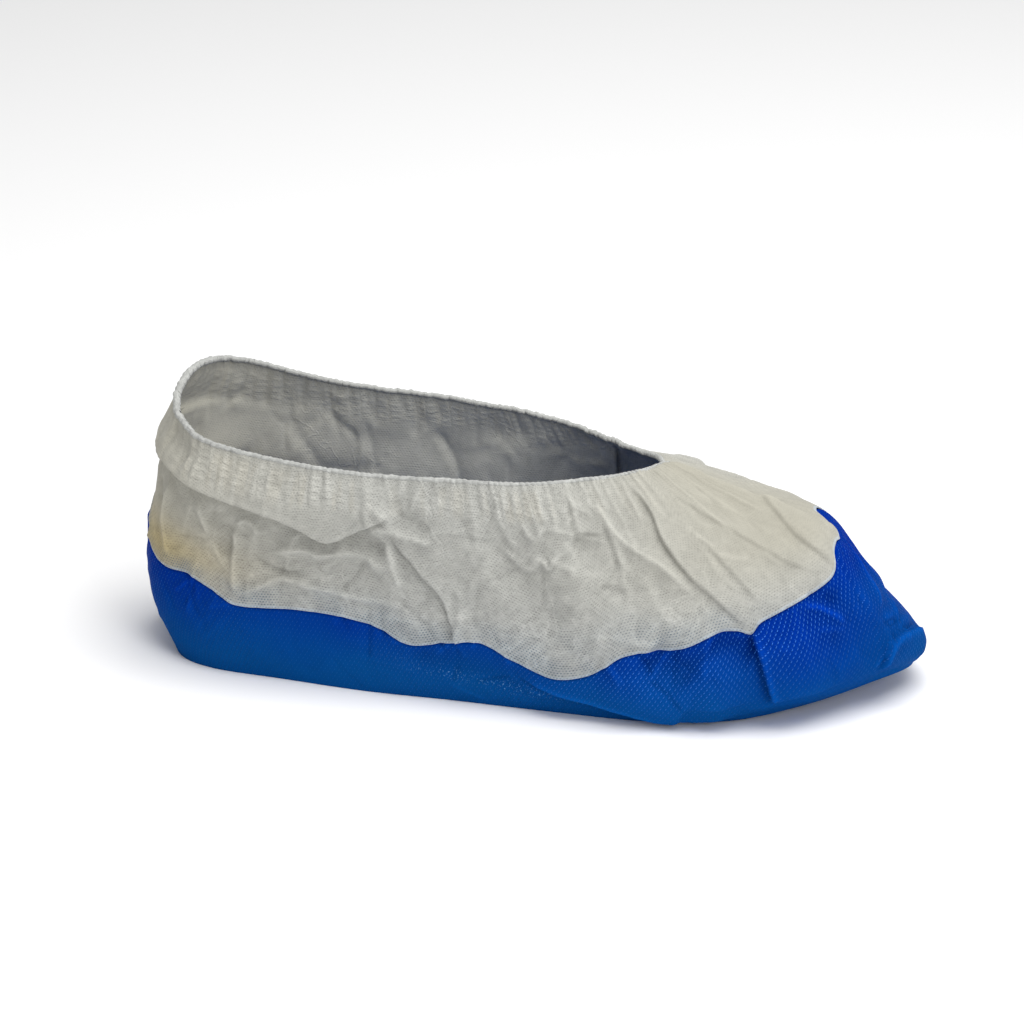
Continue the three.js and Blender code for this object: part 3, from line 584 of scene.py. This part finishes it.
# Where the cloth's looks change, each from 0 to 1 over the wall.
crimpTable = np.array([  # section, how strongly the cloth under the rim is crimped
    (0, 0.3), (1.2, 0.4), (1.9, 1), (3.6, 1), (4.2, 0.5), (5.1, 0.5), (5.6, 0.8), (6.2, 0.7),
    (6.9, 0.4), (14, 0.5), (17, 0.8), (20, 0.3),
])
seenTable = np.array([  # section, mm above the weld up to which the blue film shows through
    (0, 9), (2.5, 11), (4.4, 18), (5.2, 9), (6.2, 26), (7.4, 12), (9, 6), (12, 6), (14, 12), (20, 9),
])
yellowing = bell(fromHeel, 1.1, 1.3) * bell(allUp, 0.45, 0.12)
warmth = np.minimum(bell(columnSection, 10, 3.2) + 0.9 * bell(fromHeel, 0, 3.3), 1)
warmth = warmth * ease(allUp, 0.35, 0.65)
belowRim = (1 - allUp) * cover["heightScale"]
awayFromToe = 1 - bell(columnSection, cover["toeSection"] - 0.6, 3.0, 4)
patchy = 0.75 + 0.35 * lumps(columnAround, belowRim, 26, 61)
smocking = awayFromToe * np.interp(columnSection, *crimpTable.T) * patchy
smocking = smocking * ease(belowRim, 2.5, 6) * (1 - ease(belowRim, 14, 20))
overWeld = (allUp - weldUp) * cover["heightScale"]
seenThrough = 1 - ease(overWeld, 2, np.interp(columnSection, *seenTable.T))
seenThrough = seenThrough * (1 - bell(columnSection, 10.2, 2.3, 4))
# marks the inner face, whose colour is made lighter as painted light coming through the thin cloth
inward = np.zeros_like(allUp)
inward[len(outerFace):] = 1
upperMesh = makeMesh("white_upper", [
    band(outerIndex, closedAround, upperLength, new=outerFace),
    band(np.stack([outerIndex[-1], innerIndex[0]]), closedAround, upperLength[-1:] + [[0], [0.5]]),
    band(innerIndex, closedAround, innerLength, new=innerFace),
    band(np.stack([innerIndex[-1], outerIndex[0]]), closedAround, np.array([[0], [0.5]])),
], {
    "yellowing": yellowing, "warmth": warmth, "belowRim": belowRim, "smocking": smocking,
    "folded": np.concatenate([outerMarks, outerMarks[innerRows]]),
    "overWeld": overWeld, "seenThrough": seenThrough, "inward": inward,
})

# Blue tray: underside, outer wall up to the lap behind the white, inner wall and floor.
trayPiece = {
    "wall": 0.5, "rows": 58, "innerStep": 3,
    "bottomRings": 7, "heelInset": 12, "toeInset": 14,
    "edgeSetBack": 0.55, "lapSetBack": (1.0, 1.3, 1.3, 1.0, 0.8),  # mm behind the white, row by row
    "floorSetBack": 0.7,
}


def bottomRings(ring, rings):
    # from the middle line out to the floor ring; the two sides meet in the middle line
    across = ring[-np.arange(columns) % columns]
    middle = (ring + across) / 2
    low, high = middle[:, 0].min(), middle[:, 0].max()
    share = (middle[:, 0] - low) / (high - low)
    inset = trayPiece["heelInset"] + trayPiece["toeInset"]
    middle[:, 0] = low + trayPiece["heelInset"] + share * (high - low - inset)
    return middle + (ring - middle) * np.linspace(0, 1, rings)[:, None, None]


trayRows = trayPiece["rows"]
lapRows = weldUp + upperPiece["lapUp"] * np.linspace(0, 1, len(trayPiece["lapSetBack"]))[:, None]
trayUp = np.concatenate([spread((0 * weldUp, weldUp - 0.004, trayRows)), lapRows])
trayFace, trayMarks = foldedWall(columnSection, np.maximum(trayUp, 0))
trayNormal = gridNormals(trayFace)
setBack = trayPiece["edgeSetBack"] * ease(trayUp, weldUp - 0.016, weldUp - 0.003)
setBack[trayRows:] = np.array(trayPiece["lapSetBack"])[:, None]
trayOuter = trayFace - setBack[..., None] * wallAxes(columnSection, np.maximum(trayUp, 0))[2]
trayInner = trayOuter - trayPiece["wall"] * trayNormal
flatNormal = unit(trayNormal[0] * (1, 1, 0))
trayInner[0] = trayOuter[0] - trayPiece["floorSetBack"] * flatNormal + (0, 0, trayPiece["wall"])
trayInner[..., 2] = np.maximum(trayInner[..., 2], trayPiece["wall"])
innerTrayRows = everyFew(len(trayUp), trayPiece["innerStep"])
trayInner = trayInner[innerTrayRows]
under = bottomRings(trayOuter[0], trayPiece["bottomRings"] + 1)[:-1]
inside = bottomRings(trayInner[-1], trayPiece["bottomRings"] + 1)[:-1][::-1]

underIndex, trayIndex, trayInnerIndex, insideIndex = numberRings(under, trayOuter, trayInner, inside)
mirrored = np.minimum(np.arange(columns), -np.arange(columns) % columns)
underIndex[0], insideIndex[-1] = underIndex[0][mirrored], insideIndex[-1][mirrored]


def planUv(rings):
    # UV of the floors: the plan itself, in mm
    rings = np.concatenate([rings, rings[:, :1]], 1)
    return rings[..., 0], rings[..., 1]


glintUp = np.interp(columnSection, [4.3, 5.2, 6.4], [0.2, 0.15, 0.1])
glint = bell(trayUp, glintUp, 0.028) * bell(columnSection, 5.6, 1.1, 4)
# where the studs catch the light: section, height, reach round and up, strength
litPatches = [
    (7.3, 0.3, 1.0, 0.15, 1.0), (8.9, 0.38, 0.9, 0.1, 1.0), (9.9, 0.5, 0.7, 0.12, 0.8),
    (10.4, 0.1, 0.7, 0.1, 0.6), (12.4, 0.35, 1.2, 0.14, 0.9), (14.6, 0.2, 1.5, 0.12, 0.8),
    (5.0, 0.2, 1.6, 0.2, 0.4), (17.6, 0.2, 1.3, 0.2, 0.5), (0.0, 0.3, 1.1, 0.22, 0.8),
    (20.0, 0.3, 1.1, 0.22, 0.8), (2.6, 0.3, 1.0, 0.12, 0.15),
]
studLight = sum(
    strength * bell(columnSection, at, wide) * bell(trayUp, high, tall)
    for at, high, wide, tall, strength in litPatches
)
studLight = np.minimum(studLight, 1)
paler = 0.5 * bell(columnSection, 10.6, 1.0) * (1 - ease(trayUp, 0.36, 0.5))
trayLength = lengthUp(trayOuter)


def onTray(wall, floors=0.0, inner=1):
    # one attribute over the whole tray: both floors alike, and the wall's values outside and inside
    flat = np.full(under.shape[:2], floors)
    return np.concatenate([flat, wall, wall[innerTrayRows] * inner, np.full(inside.shape[:2], floors)])


underPlan = np.concatenate([under, trayOuter[:1]])
insidePlan = np.concatenate([trayInner[-1:], inside])
trayMesh = makeMesh("blue_sole_tray", [
    band(np.concatenate([underIndex, trayIndex[:1]]), *planUv(underPlan), new=under),
    band(trayIndex, closedAround, trayLength, new=trayOuter),
    band(np.stack([trayIndex[-1], trayInnerIndex[0]]), closedAround, trayLength[-1:] + [[0], [0.5]]),
    band(trayInnerIndex, closedAround, trayLength[innerTrayRows], new=trayInner),
    band(np.concatenate([trayInnerIndex[-1:], insideIndex]), *planUv(insidePlan), new=inside),
], {
    "heelSide": bell(fromHeel, 0, 2.5),
    "studLight": onTray(studLight, floors=0.5),
    "paler": onTray(paler),
    "glint": onTray(glint, inner=0),
    "folded": onTray(trayMarks),
})
print("tray worked out:", trayOuter.shape)

# Elastic edge: a crimped cord of cloth carried round the rim.
rimColumns = 2 * columns


def onRim(values, last):
    # a ring of column values read at twice as many places; last is the value that closes it
    return np.interp(np.arange(rimColumns) / 2, np.arange(columns + 1), np.append(values, last))


rimSection = onRim(columnSection, sectionCount)
rimHeel = np.minimum(rimSection, sectionCount - rimSection)
rimTop = foldedWall(columnSection, np.stack([np.full(columns, 0.985), np.ones(columns)]))[0]
rimTop = np.stack([np.stack([onRim(row[:, k], row[0, k]) for k in range(3)], -1) for row in rimTop])
rimOut = unit(np.cross(np.roll(rimTop[1], -1, 0) - np.roll(rimTop[1], 1, 0), rimTop[1] - rimTop[0]))
rimUpward = unit(rimTop[1] - rimTop[0])
rimLine = rimTop[1] - rimPiece["radius"] * rimUpward - rimPiece["setIn"] * rimOut
rimStep = np.linalg.norm(np.roll(rimLine, -1, 0) - rimLine, axis=-1)
rimAround = np.concatenate([[0], np.cumsum(rimStep)])
beads = round(rimAround[-1] / rimPiece["beadPitch"])
angle = np.linspace(0, 2 * math.pi, rimPiece["sides"], endpoint=False)[:, None]
rimShare = rimAround[:-1] / rimAround[-1]
phase = math.pi * beads * rimShare + 0.5 * rimPiece["lean"] * np.cos(angle)
nearHeel = bell(rimHeel, 0, 1.6)
swell = 1 + rimPiece["beadDepth"] * (1 - 0.6 * nearHeel) * (np.abs(np.sin(phase)) - 0.6)
swell = swell * (1 + 0.06 * lumps(rimShare * roundLength, 3 * angle, 5, 41))
rimRadius = rimPiece["radius"] * (1 + rimPiece["heelSwell"] * nearHeel)
outward = np.cos(angle)[..., None] * rimOut + np.sin(angle)[..., None] * rimUpward
rimFace = rimLine + (rimRadius * swell)[..., None] * outward
rimIndex = numberRings(rimFace)[0]
angleUv = np.append(angle[:, 0], 2 * math.pi)[:, None] * rimPiece["radius"]
rimMesh = makeMesh("elastic_rim", [
    band(np.concatenate([rimIndex, rimIndex[:1]]), rimAround, angleUv, new=rimFace),
], {})
print("elastic worked out:", rimFace.shape)


def arithmetic(operation):
    # one Math node as a Python operator, and the reflected form for a number on the left
    return (
        lambda self, other: self.math(operation, self, other),
        lambda self, other: self.math(operation, other, self),
    )


class Socket:
    # a shader socket whose arithmetic adds Math nodes
    def __init__(self, bench, socket):
        self.bench, self.socket = bench, socket

    def math(self, operation, *values):
        return self.bench.node("ShaderNodeMath", {"operation": operation}, dict(enumerate(values)))

    __add__, __radd__ = arithmetic("ADD")
    __sub__, __rsub__ = arithmetic("SUBTRACT")
    __mul__, __rmul__ = arithmetic("MULTIPLY")
    __truediv__, __rtruediv__ = arithmetic("DIVIDE")
    __pow__, __rpow__ = arithmetic("POWER")
    __mod__, __rmod__ = arithmetic("FLOORED_MODULO")

    def floor(self): return self.math("FLOOR", self)
    def sine(self): return self.math("SINE", self)
    def root(self): return self.math("SQRT", self)
    def size(self): return self.math("ABSOLUTE", self)

    def between(self, low, high):
        # eased from 0 at low to 1 at high
        settings = {"interpolation_type": "SMOOTHSTEP"}
        return self.bench.node("ShaderNodeMapRange", settings, {0: self, 1: low, 2: high})


class Finish:
    # one material: its nodes are all made by node()
    def __init__(self, name, surface):
        self.material = bpy.data.materials.new(name)
        self.material.use_nodes = True
        self.tree = self.material.node_tree
        self.surface = next(n for n in self.tree.nodes if n.type == "BSDF_PRINCIPLED")
        for key, value in surface.items():
            self.surface.inputs[key].default_value = value

    def node(self, kind, settings, inputs, output=0):
        # one node: its type, its settings, and a value or a link for each input
        made = self.tree.nodes.new(kind)
        for key, value in settings.items():
            setattr(made, key, value)
        for key, value in inputs.items():
            if isinstance(value, Socket):
                self.tree.links.new(value.socket, made.inputs[key])
            else:
                made.inputs[key].default_value = value
        return Socket(self, made.outputs[output])

    def feed(self, key, value):
        self.tree.links.new(value.socket, self.surface.inputs[key])

    def blend(self, factor, first, second):
        # colour mix: inputs 6 and 7 are the two colours, output 2 is the colour
        whole = lambda colour: colour if isinstance(colour, Socket) else (*colour, 1.0)
        inputs = {0: factor, 6: whole(first), 7: whole(second)}
        return self.node("ShaderNodeMix", {"data_type": "RGBA"}, inputs, 2)

    def tint(self, colour, gain):
        # colour times a value
        return self.node("ShaderNodeVectorMath", {"operation": "SCALE"}, {0: colour, 3: gain})

    def place(self, source, scale=(1, 1, 1), turn=0.0, move=(0, 0, 0)):
        # coordinates: Object in metres, or the piece's own UV map in mm
        if source == "Object":
            vector = self.node("ShaderNodeTexCoord", {}, {}, "Object")
        else:
            vector = self.node("ShaderNodeUVMap", {"uv_map": source}, {})
        inputs = {"Vector": vector, "Location": move, "Scale": scale, "Rotation": (0, 0, turn)}
        return self.node("ShaderNodeMapping", {}, inputs)

    def axes(self, vector):
        return [self.node("ShaderNodeSeparateXYZ", {}, {0: vector}, k) for k in range(3)]

    def noise(self, vector, scale, detail=3.0, roughness=0.55):
        inputs = {"Vector": vector, "Scale": scale, "Detail": detail, "Roughness": roughness}
        return self.node("ShaderNodeTexNoise", {}, inputs)

    def attribute(self, name):
        return self.node("ShaderNodeAttribute", {"attribute_name": name}, {}, "Fac")

    def bump(self, height, distance, strength=1.0, below=None):
        inputs = {"Height": height, "Distance": distance, "Strength": strength}
        if below is not None:
            inputs["Normal"] = below
        return self.node("ShaderNodeBump", {}, inputs)

    def studs(self, vector, pitch, rowPitch, length, breadth, lean):
        # staggered rows of small ovals: 1 in the middle of each, 0 between them
        x, y, _ = self.axes(vector)
        row = (y / rowPitch).floor()
        across = ((x / pitch + (row % 2.0) * 0.5) % 1.0 - 0.5) * pitch
        along = (y / rowPitch - row - 0.5) * rowPitch
        slant = across - along * lean
        spot = (slant / (0.5 * breadth)) ** 2.0 + (along / (0.5 * length)) ** 2.0
        return 1.0 - spot.root().between(0.25, 1.0)


# Film: deep blue satin polythene with an embossed lattice of small slanted studs.
filmLooks = {
    "high": (0.0004, 0.024, 0.26), "low": (0.002, 0.068, 0.26),  # near the weld, darker as painted shade, and near the floor, lighter as painted light bounced off the floor
    "lit": (0.07, 0.27, 0.95), "fleck": (0.2, 0.45, 0.8),  # painted highlight on studs in the light, and painted glints
    "pitch": (1.85, 1.6),  # mm along and across the rows of studs
    "stud": (1.35, 0.52, 0.55), "tie": (0.4, 1.0, 0.0),  # length, breadth and lean of each
    "studHeight": 0.4, "crumple": 0.9,  # mm
}
film = Finish("embossed blue film", {
    "Roughness": 0.42, "Specular IOR Level": 0.004, "Specular Tint": (0.08, 0.4, 1.0, 1.0),
})
cloth = film.place("cloth")
body = film.place("Object")
height = film.axes(body)[2] / mm + (film.noise(body, 25.0, 2.0) - 0.5) * 26.0
patches = film.noise(body, 17.0, 2.0).between(0.34, 0.6)
dashes = film.studs(cloth, *filmLooks["pitch"], *filmLooks["stud"])
ties = film.studs(film.place("cloth", move=(0.92, 0.8, 0)), *filmLooks["pitch"], *filmLooks["tie"])
pressed = (dashes + ties * 0.2) * (patches * 0.7 + 0.3)
caught = pressed * (film.attribute("studLight") * 0.75 + 0.25) * (1.0 - film.attribute("heelSide") * 0.15)
# painted light and shade: the film takes the lighter floor-bounce colour low down and on the paler toe tip,
# and the darker shaded colour up towards the weld
aboveFloor = height.between(2.0, 45.0) * (1.0 - film.attribute("paler"))
base = film.blend(aboveFloor, filmLooks["low"], filmLooks["high"])
# painted highlight on the film's fold crests and painted shade at their feet
base = film.tint(base, 1.0 + film.attribute("folded") * 0.5)
base = film.blend(caught * 0.85, base, filmLooks["lit"])
# painted glints: sparse pale flecks along a line on the film
flecks = film.noise(cloth, 1.1, 2.0).between(0.6, 0.7) * film.attribute("glint")
film.feed("Base Color", film.blend(flecks * 0.6, base, filmLooks["fleck"]))
film.feed("Roughness", 0.5 - pressed * 0.16 + film.noise(cloth, 0.8, 2.0) * 0.1)
crumple = film.bump(film.noise(body, 150.0, 4.0, 0.6), filmLooks["crumple"] * mm, 0.75)
film.feed("Normal", film.bump(pressed, filmLooks["studHeight"] * mm, 1.0, crumple))

# Nonwoven: spunbond with rows of pin bonds, loose fibres and cloudy thickness.
clothLooks = {
    "cool": (0.455, 0.46, 0.44), "warm": (0.43, 0.413, 0.345), "yellow": (0.5, 0.415, 0.225),
    "blueSeen": (0.2, 0.255, 0.31), "weldEdge": (0.5, 0.6, 0.72), "beige": (0.46, 0.43, 0.35),
    "bondPitch": (1.25, 1.05), "bond": (0.72, 0.95, 0.3),  # as the film's pitch and stud
    "fibreTurns": (0.55, -0.5, 1.5), "fibreStretch": (0.35, 3.2, 1),
    "stack": 5.4, "rung": 2.8,  # mm across one crimped pleat and up from one rung to the next
    "texture": 0.2, "crimp": 0.34,  # mm, heights of the cloth's grain and of the crimps
}


def nonwoven(name, bondDepth, smocked):
    # a colour times a tone of clouds, strands, bonds and crinkle lines, which are a bump too, and of the
    # folds' marks of painted highlight and shade
    finish = Finish(name, {
        "Roughness": 0.9, "Specular IOR Level": 0.12, "Sheen Weight": 0.1, "Sheen Roughness": 0.6,
    })
    cloth = finish.place("cloth")
    body = finish.place("Object")
    bonds = finish.studs(cloth, *clothLooks["bondPitch"], *clothLooks["bond"])
    bonds = bonds * finish.noise(cloth, 0.32, 2.0).between(0.25, 0.6)
    fibres = [
        finish.noise(finish.place("cloth", clothLooks["fibreStretch"], turn), 1.0, 3.0, 0.65)
        for turn in clothLooks["fibreTurns"]
    ]
    strands = (fibres[0] + fibres[1] + fibres[2]) / 3.0
    clouds = finish.noise(body, 60.0, 5.0, 0.62)
    blotches = finish.noise(body, 210.0, 3.0, 0.6)
    smooth = 0.86 - finish.attribute("warmth") * 0.6
    grain = (clouds - 0.5) * 0.2 + (blotches - 0.5) * 0.55 + (strands - 0.5) * 2.2
    grain = grain - bonds * (0.36 * bondDepth)
    veins = [
        (1.0 - (finish.noise(body, scale, 2.5) - 0.5).size().between(0.0, width))
        * finish.noise(body, 24.0, 1.0).between(low, low + 0.1)
        for scale, width, low in ((34.0, 0.016, 0.47), (62.0, 0.022, 0.52))
    ]
    veins = (veins[0] + veins[1]) * smooth
    # the folds' marks add painted highlight on crests, painted shade at feet, and whiter doubled cloth
    tone = 0.92 + grain * smooth + finish.attribute("folded") * 0.13 + veins * 0.13
    tone = tone - finish.attribute("yellowing") * 0.07
    base = finish.blend(finish.attribute("warmth"), clothLooks["cool"], clothLooks["warm"])
    base = finish.blend(finish.attribute("yellowing"), base, clothLooks["yellow"])
    relief = None
    if smocked:
        # the blue shows through the lowest strip, and rows of crimped pleats lie under the rim
        thin = finish.noise(body, 45.0, 2.0).between(0.35, 0.6) * 0.7 + 0.3
        thin = finish.attribute("seenThrough") * thin * (0.36 + bonds * 1.15)
        base = finish.blend(thin, base, clothLooks["blueSeen"])
        # a pale blue-white line along the weld: the translucent welded edge, with painted highlight on its
        # thickness
        edge = 1.0 - finish.attribute("overWeld").between(0.3, 1.3)
        base = finish.blend(edge * 0.5, base, clothLooks["weldEdge"])
        sway = finish.noise(finish.place("cloth", (0.11, 0.05, 1)), 1.0, 2.0) * 9.0
        stack = (finish.axes(cloth)[0] + sway) / clothLooks["stack"]
        middle = (stack * math.pi).sine().size()
        climb = finish.attribute("belowRim") + stack.floor() % 2.0 * (0.5 * clothLooks["rung"])
        climb = climb + finish.noise(finish.place("cloth", (0.3, 0.3, 1)), 1.0, 2.0) * 2.2
        rungs = (climb * (2 * math.pi / clothLooks["rung"])).sine().between(-0.3, 0.9) * middle
        smocking = finish.attribute("smocking")
        # the crimps are a bump and also tint the tone: lighter on pleats and rungs, painted shade between
        # them
        crimp = (rungs * 0.8 + middle.between(0.0, 0.7) * 0.6 - 0.7) * smocking
        # painted light: the inner face is lighter, standing for light that comes through the thin cloth
        tone = tone + crimp * 0.12 + smocking * 0.12 + finish.attribute("inward") * 0.35
        bars = finish.noise(finish.place("cloth", (0.16, 0.02, 1)), 1.0, 2.0).between(0.48, 0.62)
        base = finish.blend(bars * smocking * 0.45, base, clothLooks["beige"])
        relief = finish.bump(crimp, clothLooks["crimp"] * mm, 1.0)
    finish.feed("Base Color", finish.tint(base, tone))
    texture = strands * 1.2 + (blotches - 0.5) * 0.8 - bonds * (0.8 * bondDepth)
    texture = texture * smooth + veins * 0.8
    finish.feed("Normal", finish.bump(texture, clothLooks["texture"] * mm, 1.0, relief))
    return finish


upperFinish = nonwoven("spunbond nonwoven", 1.0, True)
rimFinish = nonwoven("crimped elastic cloth", 0.2, False)
print("materials made")

for piece, finish, slot, node in (
    (trayMesh, film, "sole_film", "sole_film"),
    (upperMesh, upperFinish, "nonwoven", "upper"),
    (rimMesh, rimFinish, "elastic", "elastic_edge"),
):
    piece.data.materials.append(finish.material)
    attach(piece, "root")
    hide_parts(node)

# Studio: pale floor, soft lights, camera.
studio = {
    "floorSide": 6.0, "floorColour": (0.96, 0.96, 0.96), "world": 0.42,
    "lights": [  # name, place, size, power
        ("overhead", (0.35, -0.15, 1.5), 1.2, 24.0),
        ("front", (1.2, -1.3, 0.9), 0.8, 7.0),
    ],
    "azimuth": 11.5, "elevation": 24.0, "distance": 1.6, "lens": 143.44,
    "aim": (0.00333, -0.00347, 0.045), "aside": 0.00941, "above": 0.01882,
}
half = studio["floorSide"] / 2
floorMesh = bpy.data.meshes.new("floor")
corners = [(-half, -half, 0), (half, -half, 0), (half, half, 0), (-half, half, 0)]
floorMesh.from_pydata(corners, [], [(0, 1, 2, 3)])
paper = Finish("pale floor", {"Roughness": 0.85, "Base Color": (*studio["floorColour"], 1)})
floorMesh.materials.append(paper.material)
addObject("floor", floorMesh)

world = bpy.data.worlds.new("studio")
world.use_nodes = True
background = world.node_tree.nodes["Background"].inputs
background[0].default_value = (1, 1, 1, 1)
background[1].default_value = studio["world"]
bpy.context.scene.world = world

for name, place, size, power in studio["lights"]:
    lamp = bpy.data.lights.new(name, "AREA")
    lamp.size, lamp.energy = size, power
    light = addObject(name, lamp)
    light.location = place
    direction = Vector(studio["aim"]) - Vector(place)
    light.rotation_euler = direction.to_track_quat("-Z", "Y").to_euler()

turn, tilt = math.radians(studio["azimuth"]), math.radians(studio["elevation"])
back = Vector((math.sin(turn) * math.cos(tilt), -math.cos(turn) * math.cos(tilt), math.sin(tilt)))
right = Vector((math.cos(turn), math.sin(turn), 0))
lens = bpy.data.cameras.new("camera")
lens.lens = studio["lens"]
lens.clip_end = 30
camera = addObject("camera", lens)
camera.location = Vector(studio["aim"]) + back * studio["distance"] - right * studio["aside"]
camera.location += back.cross(right) * studio["above"]
camera.rotation_euler = (-back).to_track_quat("-Z", "Y").to_euler()
bpy.context.scene.camera = camera
bpy.context.scene.view_settings.view_transform = "Standard"
print("studio set")
